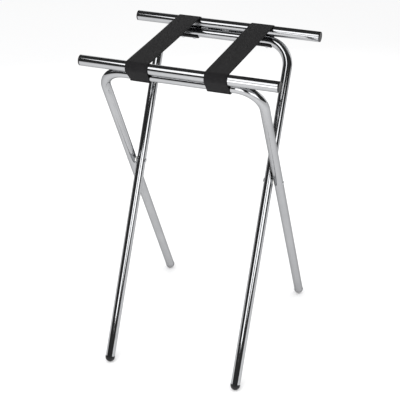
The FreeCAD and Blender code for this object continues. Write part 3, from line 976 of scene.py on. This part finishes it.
@dataclass
class Pivot:
    """Rivet, spacer and washer of one pivot, which turn with the outer frame."""

    stance: Stance
    side: Side
    outer_leg: float = OUTER_WIDTH / 2
    inner_leg: float = INNER_WIDTH / 2
    tube: float = TUBE
    play: float = 0.3 * MM
    rivet_radius: float = 3.0 * MM
    head_radius: float = 4.5 * MM
    head_height: float = 1.5 * MM
    head_sink: float = 1.4 * MM
    tail_radius: float = 4.0 * MM
    tail_height: float = 0.8 * MM
    spacer_radius: float = 6.5 * MM
    saddle: float = 2.1 * MM
    washer_radius: float = 5.0 * MM
    washer_thickness: float = 0.6 * MM
    soft: float = 0.2 * MM

    def build(self) -> list[bpy.types.Object]:
        """Turn the three pieces.

        Returns:
            The pieces.
        """
        pieces = [self.make_rivet(), self.make_spacer(), self.make_washer()]
        for piece, slot in zip(pieces, ("plated_hardware", "white_nylon", "plated_hardware")):
            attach(piece, "outer_frame")
        return pieces

    def turned(self, kind: str, outline: Sequence[Point2], ring: bool,
               finish: Finish = ZINC) -> bpy.types.Object:
        """Turn one piece about the pivot axis.

        Args:
            kind: What the piece is.
            outline: Pairs of distance from the rack's middle and radius.
            ring: Whether the outline is closed.
            finish: Its finish.

        Returns:
            The piece.
        """
        name = f"{kind}_{self.side.value}"
        mesh = lathe(name, outline, self.stance.sideways(0.0, 0.0, self.side.sign), 48, ring)
        piece = finished(name, mesh, finish)
        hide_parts(f"pivot_{name}")
        return piece

    def make_rivet(self) -> bpy.types.Object:
        """Turn the rivet: domed head outside, shank, and formed tail inside.

        Returns:
            The piece.
        """
        crest = self.outer_leg + self.tube / 2
        seat = self.inner_leg - self.tube / 2 - self.play - self.washer_thickness
        turns = [math.radians(turn) for turn in range(0, 91, 9)]
        head = [(crest + self.head_height * math.cos(turn), self.head_radius * math.sin(turn))
                for turn in turns]
        tail = [(seat - self.tail_height * math.sin(turn), self.tail_radius * math.cos(turn))
                for turn in turns]
        head[0] = (head[0][0], 0.0)
        tail[-1] = (tail[-1][0], 0.0)
        under = crest - self.head_sink
        shank = [(under, self.head_radius), (under, self.rivet_radius), (seat, self.rivet_radius)]
        return self.turned("rivet", head + shank + tail, False)

    def make_spacer(self) -> bpy.types.Object:
        """Turn the spacer between the legs, its flat face towards the inner one.

        Returns:
            The piece.
        """
        start = self.inner_leg + self.tube / 2 + self.play
        stop = self.outer_leg - self.tube / 2 + self.saddle
        bore, edge = self.rivet_radius, self.spacer_radius
        outline = [(start, bore), (start, edge - self.soft), (start + self.soft, edge), (stop, edge),
                   (stop, bore)]
        # The spacer's white nylon is partly a painted highlight between the legs.
        return self.turned("spacer", outline, True, NYLON_PAINTED_HIGHLIGHT)

    def make_washer(self) -> bpy.types.Object:
        """Turn the washer between the inner leg and the rivet's tail.

        Returns:
            The piece.
        """
        stop = self.inner_leg - self.tube / 2 - self.play
        start = stop - self.washer_thickness
        bore, edge = self.rivet_radius, self.washer_radius
        outline = [(start, bore), (start, edge - self.soft), (start + self.soft, edge),
                   (stop - self.soft, edge), (stop, edge - self.soft), (stop, bore)]
        return self.turned("washer", outline, True)


@dataclass(frozen=True)
class StrapLine:
    """A sample of a strap's centreline: its place, how far along, how low on its wrap, how crumpled."""

    place: Point2
    along: float
    lowness: float
    hugging: float


@dataclass
class StrapEnd:
    """Half a strap: hem, turn round the crosspiece and bar, and the flat run to the rack's middle."""

    stance: Stance
    side: Side
    trees: "Trees"
    top_centre: float
    top_width: float
    foot_centre: float
    foot_width: float
    straight: float
    middle_centre: float
    middle_width: float = 57.0 * MM
    thick: float = 1.8 * MM
    gap: float = 0.08 * MM
    bar: float = BAR
    tube: float = TUBE
    bend: float = BEND
    seam: float = 24.0 * MM
    hem_ahead: float = 35.0
    hem_back: float = 62.0
    dip: float = 0.9 * MM
    hinge: float = 12.0 * MM
    middle_gap: float = 0.02 * MM
    fine_step: float = 0.6 * MM
    fine_steps: int = 40
    crumple: float = 1.6 * MM
    crumple_turn: float = 40.0
    crumple_reach: float = 16.0 * MM
    stitch_turns: tuple[float, float] = (14.0, 28.0)
    stitch_margin: float = 6.0 * MM
    stitch: tuple[float, float, float] = (3.4 * MM, 2.7 * MM, 0.62 * MM)

    @property
    def name(self) -> str:
        """End and side in words."""
        return f"{self.stance.end.value}_{self.side.value}"

    @property
    def bar_centre(self) -> Point2:
        """Centre of the bar across the rack: its distance outwards, negative, and its height."""
        return (-abs(self.stance.bar.y), self.stance.bar.z)

    @property
    def tube_centre(self) -> Point2:
        """Centre of the crosspiece across the rack.

        Returns:
            Its distance outwards, negative, and its height.
        """
        lean = self.stance.lean
        y, z = self.bar_centre
        return (y + self.seam * math.sin(lean), z - self.seam * math.cos(lean))

    def around(self, centre: Point2, radius: float, turn: float) -> Point2:
        """Point at a turn about a tube.

        Args:
            centre: Centre of the tube.
            radius: Distance from it.
            turn: Degrees from straight up the frame, outwards.

        Returns:
            The point.
        """
        angle = math.radians(turn)
        lean = self.stance.lean
        up = (-math.sin(lean), math.cos(lean))
        out = (-math.cos(lean), -math.sin(lean))
        return tuple(centre[k] + radius * (math.cos(angle) * up[k] + math.sin(angle) * out[k])
                     for k in (0, 1))

    def centreline(self) -> list[StrapLine]:
        """Sample the strap's centreline, from the raw edge of the hem to the rack's middle.

        Returns:
            The samples in order.
        """
        inner = self.tube / 2 + self.gap + self.thick / 2
        outer = inner + self.thick + self.gap
        over = self.bar / 2 + self.gap + self.thick / 2
        tangent = math.degrees(math.acos((self.tube - self.bar) / 2 / self.seam))
        ahead, back = 180 + self.hem_ahead, 180 - self.hem_back
        low, high = self.tube_centre, self.bar_centre
        points: list[tuple[Point2, float]] = []
        for share in shares(0, 32):
            points.append((self.around(low, outer, back + (ahead - back) * share), 1.0))
        fold = (outer - inner) / 2
        for share in shares(1, 8)[:-1]:
            turn = math.pi * share
            swing = ahead + math.degrees(fold * math.sin(turn) / outer)
            points.append((self.around(low, inner + fold + fold * math.cos(turn), swing), 1.0))
        for share in shares(0, 40):
            points.append((self.around(low, inner, ahead + (tangent - ahead) * share), 1.0))
        start, stop = points[-1][0], self.around(high, over, tangent)
        for share in shares(1, 12)[:-1]:
            mixed = tuple(start[k] + (stop[k] - start[k]) * share for k in (0, 1))
            points.append((mixed, 1.0 - eased(share)))
        top = -math.degrees(self.stance.lean)
        for share in shares(0, 36):
            points.append((self.around(high, over, tangent + (top - tangent) * share), 0.0))
        first, crown = points[-1][0]
        reach, fine = -self.middle_gap - first, self.fine_step * self.fine_steps
        runs = [fine * share for share in shares(1, self.fine_steps)]
        runs += [fine + (reach - fine) * share for share in shares(1, 36)]
        for run in runs:
            points.append(((first + run, crown - self.dip * eased(run / reach)), 0.0))
        lines, along = [], 0.0
        for number, (place, lowness) in enumerate(points):
            if number:
                along += math.dist(place, points[number - 1][0])
            away = math.dist(place, self.around(high, over, self.crumple_turn)) / self.crumple_reach
            lines.append(StrapLine(place, along, lowness, math.exp(-away ** 2)))
        return lines

    def section(self, line: StrapLine) -> tuple[float, float]:
        """Centre and width of the strap at a sample.

        Args:
            line: The sample.

        Returns:
            X of the strap's centre, and its width.
        """
        share = min(max(line.place[0] / self.bar_centre[0], 0.0), 1.0)
        centre = self.middle_centre + (self.top_centre - self.middle_centre) * share
        width = self.middle_width + (self.top_width - self.middle_width) * share
        centre += (self.foot_centre - self.top_centre) * line.lowness
        width += (self.foot_width - self.top_width) * line.lowness
        return centre, width - self.crumple * line.hugging

    def sag(self, x: float, lowness: float) -> float:
        """How far the strap follows the bend down where it reaches past the straight crosspiece.

        Args:
            x: Where across the rack.
            lowness: How far down its wrap.

        Returns:
            The drop along the frame.
        """
        past = max(abs(x) - self.straight, 0.0)
        return lowness * (self.bend - math.sqrt(self.bend ** 2 - past ** 2))

    def build(self) -> list[bpy.types.Object]:
        """Build the strap half and its hem stitches.

        Returns:
            The pieces.
        """
        lines = self.centreline()
        return [self.make_strap(lines), self.make_stitches(lines)]

    def make_strap(self, lines: Sequence[StrapLine]) -> bpy.types.Object:
        """Sweep the strap's section along its centreline.

        Args:
            lines: The centreline.

        Returns:
            The piece.
        """
        columns = 22
        flip = -self.stance.end.outward
        lean = self.stance.lean
        total = lines[-1].along
        strip = bmesh.new()
        weave = strip.loops.layers.uv.new("weave")
        rings, flats = [], []
        for number, line in enumerate(lines):
            before, after = lines[max(number - 1, 0)].place, lines[min(number + 1, len(lines) - 1)].place
            run = Vector((after[0] - before[0], after[1] - before[1])).normalized()
            normal = (-run.y, run.x)
            centre, width = self.section(line)
            half, edge = width / 2, self.thick / 2
            outline = [(-half + edge + (width - 2 * edge) * c / columns, edge) for c in range(columns + 1)]
            outline += [(half - edge + edge * math.sin(math.radians(t)), edge * math.cos(math.radians(t)))
                        for t in (30, 60, 90, 120, 150)]
            outline += [(-across, -rise) for across, rise in outline]
            ring, flat = [], []
            for across, rise in outline:
                x = centre + across
                drop = self.sag(x, line.lowness)
                y = line.place[0] + normal[0] * rise + drop * math.sin(lean)
                z = line.place[1] + normal[1] * rise - drop * math.cos(lean)
                ring.append(strip.verts.new((x, y * flip, z)))
                flat.append((across * WEBBING.half_width / half, (line.along - total) * flip))
            rings.append(ring)
            flats.append(flat)
        for number in range(len(rings) - 1):
            count = len(rings[number])
            for k in range(count):
                j = (k + 1) % count
                corners = ((number, k), (number, j), (number + 1, j), (number + 1, k))
                face = strip.faces.new([rings[r][c] for r, c in corners])
                for loop, (r, c) in zip(face.loops, corners):
                    loop[weave].uv = flats[r][c]
        for number in (0, len(rings) - 1):
            cap = strip.faces.new(rings[number])
            for loop, spot in zip(cap.loops, flats[number]):
                loop[weave].uv = spot
        mesh = bpy.data.meshes.new(self.name + "_webbing")
        strip.to_mesh(mesh)
        strip.free()
        piece = finished(self.name + "_webbing", mesh, WEBBING, 50)
        self.hang(piece)
        end, side = self.stance.end.value, self.side.value
        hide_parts(f"{end}_strap_wrap_{side}", f"strap_span_{end}_{side}")
        return piece

    def hang(self, piece: bpy.types.Object) -> None:
        """Bake the strap half's placement into its mesh.

        Args:
            piece: The strap half.
        """
        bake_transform(piece)

    def make_stitches(self, lines: Sequence[StrapLine]) -> bpy.types.Object:
        """Grow the two rows of stitches that close the hem, on its underside.

        Args:
            lines: The centreline.

        Returns:
            The piece.
        """
        flip = -self.stance.end.outward
        lean = self.stance.lean
        outer = self.tube / 2 + 2 * self.gap + 2 * self.thick
        points, edges = [], []
        centre, width = self.foot_centre, self.foot_width
        for turn in self.stitch_turns:
            y, z = self.around(self.tube_centre, outer, 180 - self.hem_back + turn)
            for share in shares(0, 8):
                x = centre + (share - 0.5) * (width - self.stitch_margin)
                drop = self.sag(x, 1.0)
                points.append(Vector((x, (y + drop * math.sin(lean)) * flip, z - drop * math.cos(lean))))
                if share:
                    edges.append((len(points) - 2, len(points) - 1))
        name = self.name + "_hem_stitches"
        values = dict(zip(("Pitch", "Length", "Thickness"), self.stitch))
        mesh = self.trees.bead_row.grow(name, base_mesh(name, points, edges), THREAD, values)
        piece = finished(name, mesh, THREAD, 80)
        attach(piece, self.stance.end.body)
        return piece


@dataclass
class Trees:
    """The trees that every sub-assembly shares."""

    bent_tube: BentTubeTree
    bead_row: BeadRowTree
    fastener: FastenerTree


# Studio


@dataclass(frozen=True)
class Panel:
    """A soft light panel: its centre, the point it faces, its width and height, and its power."""

    name: str
    place: tuple[float, float, float]
    aim: tuple[float, float, float]
    size: tuple[float, float]
    watts: float


@dataclass
class Studio:
    """Pale floor, soft lights and the camera."""

    azimuth: float = 20.77
    elevation: float = 28.35
    roll: float = -0.32
    distance: float = 2.75095
    target: tuple[float, float, float] = (-0.01062, 0.0, 0.37299)
    lens: float = 98.597
    floor_size: float = 40.0
    ambient: float = 1.0
    dome_tone: float = 0.05
    dome_radius: float = 9.0
    floor_drop: float = 0.2 * MM
    sensor: float = 36.0
    sight: float = 100.0
    panels: tuple[Panel, ...] = (
        Panel("overhead", (-0.65, -1.85, 2.35), (-0.65, -1.85, 0.0), (1.6, 2.1), 25.0),
        Panel("front_left", (0.06, -1.55, 0.92), (0.06, 0.0, 0.92), (0.54, 0.74), 3.5),
        Panel("front_right", (1.165, -1.15, 0.97), (0.0, 0.0, 0.85), (0.94, 0.75), 5.6),
        Panel("rear_left", (-0.9, 1.6, 1.0), (0.0, 0.0, 0.7), (1.1, 0.9), 5.0),
        Panel("rear_right", (1.0, 1.5, 1.0), (0.0, 0.0, 0.7), (0.9, 0.9), 4.0),
    )

    def build(self) -> None:
        """Set up floor, lights and camera."""
        self.make_floor()
        self.make_world()
        self.make_dome()
        self.make_lights()
        self.make_camera()
        bpy.context.scene.view_settings.view_transform = "Standard"

    def make_floor(self) -> None:
        """Lay a wide floor just under the feet."""
        grid = bmesh.new()
        bmesh.ops.create_grid(grid, x_segments=8, y_segments=8, size=self.floor_size / 2)
        mesh = bpy.data.meshes.new("studio_floor")
        grid.to_mesh(mesh)
        grid.free()
        mesh.transform(Matrix.Translation((0, 0, -self.floor_drop)))
        finished("studio_floor", mesh, FLOOR)

    def make_world(self) -> None:
        """Even pale light from all round, which the plated metal doesn't mirror."""
        world = bpy.data.worlds.new("studio")
        world.use_nodes = True
        sheet = NodeSheet(world.node_tree)
        sheet.wire(world.node_tree.nodes["Background"], Color=(1.0, 1.0, 1.0, 1.0), Strength=self.ambient)
        bpy.context.scene.world = world
        world.cycles_visibility.glossy = False

    def make_dome(self) -> None:
        """Dim room that the plated metal mirrors in place of the even light."""
        room = bmesh.new()
        bmesh.ops.create_uvsphere(room, u_segments=48, v_segments=24, radius=self.dome_radius)
        mesh = bpy.data.meshes.new("dim_room")
        room.to_mesh(mesh)
        room.free()
        glow = bpy.data.materials.new("dim_room")
        glow.use_nodes = True
        NodeSheet(glow.node_tree).wire(
            glow.node_tree.nodes["Principled BSDF"], Base_Color=(0.0, 0.0, 0.0, 1.0),
            Specular_IOR_Level=0.0, Emission_Color=(1.0, 1.0, 1.0, 1.0), Emission_Strength=self.dome_tone)
        mesh.materials.append(glow)
        dome = bpy.data.objects.new("dim_room", mesh)
        bpy.context.scene.collection.objects.link(dome)
        for rays in ("camera", "diffuse", "shadow", "transmission"):
            setattr(dome, "visible_" + rays, False)

    def make_lights(self) -> None:
        """Hang the soft panels, which the camera doesn't see."""
        for panel in self.panels:
            lamp = bpy.data.lights.new(panel.name, "AREA")
            lamp.shape = "RECTANGLE"
            lamp.size, lamp.size_y = panel.size
            lamp.energy = panel.watts
            holder = bpy.data.objects.new(panel.name, lamp)
            holder.location = panel.place
            facing = Vector(panel.aim) - Vector(panel.place)
            holder.rotation_euler = facing.to_track_quat("-Z", "Y").to_euler()
            holder.visible_camera = False
            bpy.context.scene.collection.objects.link(holder)

    def make_camera(self) -> None:
        """Aim the camera from its azimuth and elevation, then roll it."""
        azimuth, elevation, roll = (math.radians(turn) for turn in (self.azimuth, self.elevation, self.roll))
        look = Vector((-math.sin(azimuth) * math.cos(elevation), math.cos(azimuth) * math.cos(elevation),
                       -math.sin(elevation)))
        right = Vector((math.cos(azimuth), math.sin(azimuth), 0.0))
        up = right.cross(look)
        level = right * math.cos(roll) + up * math.sin(roll)
        upright = up * math.cos(roll) - right * math.sin(roll)
        turn = Matrix((level, upright, -look)).transposed().to_4x4()
        lens = bpy.data.cameras.new("studio_camera")
        lens.sensor_width = self.sensor
        lens.lens = self.lens
        lens.clip_end = self.sight
        camera = bpy.data.objects.new("studio_camera", lens)
        camera.matrix_world = Matrix.Translation(Vector(self.target) - look * self.distance) @ turn
        bpy.context.scene.collection.objects.link(camera)
        bpy.context.scene.camera = camera


def main() -> None:
    """Build the rack from its sub-assemblies, then the studio round it."""
    logging.basicConfig(level=logging.INFO, format="%(name)s: %(message)s")
    trees = Trees(BentTubeTree(), BeadRowTree(), FastenerTree())
    front, rear = Stance.read(End.FRONT), Stance.read(End.REAR)
    pieces: list[bpy.types.Object] = []
    pieces += TubeFrame(front, OUTER_WIDTH, trees).build()
    pieces += TubeFrame(rear, INNER_WIDTH, trees).build()
    for side in Side:
        pieces += Pivot(front, side).build()
    # Each strap end: centre and width on top of the bar, centre and width at the hem, and the
    # centre at the rack's middle, in millimetres.
    ends = (
        (front, Side.LEFT, -93.3, 55.8, -91.6, 48.5, -95.6),
        (front, Side.RIGHT, 94.1, 55.5, 96.0, 55.2, 92.6),
        (rear, Side.LEFT, -97.8, 57.6, -97.8, 56.5, -95.6),
        (rear, Side.RIGHT, 91.0, 58.2, 91.5, 57.0, 92.6),
    )
    for stance, side, top_centre, top_width, foot_centre, foot_width, middle in ends:
        width = OUTER_WIDTH if stance is front else INNER_WIDTH
        pieces += StrapEnd(stance, side, trees, top_centre * MM, top_width * MM, foot_centre * MM,
                           foot_width * MM, width / 2 - BEND, middle * MM).build()
    for piece in pieces:
        LOG.info("%s: %d faces", piece.name, len(piece.data.polygons))
    Studio().build()


if __name__ == "__main__":
    main()
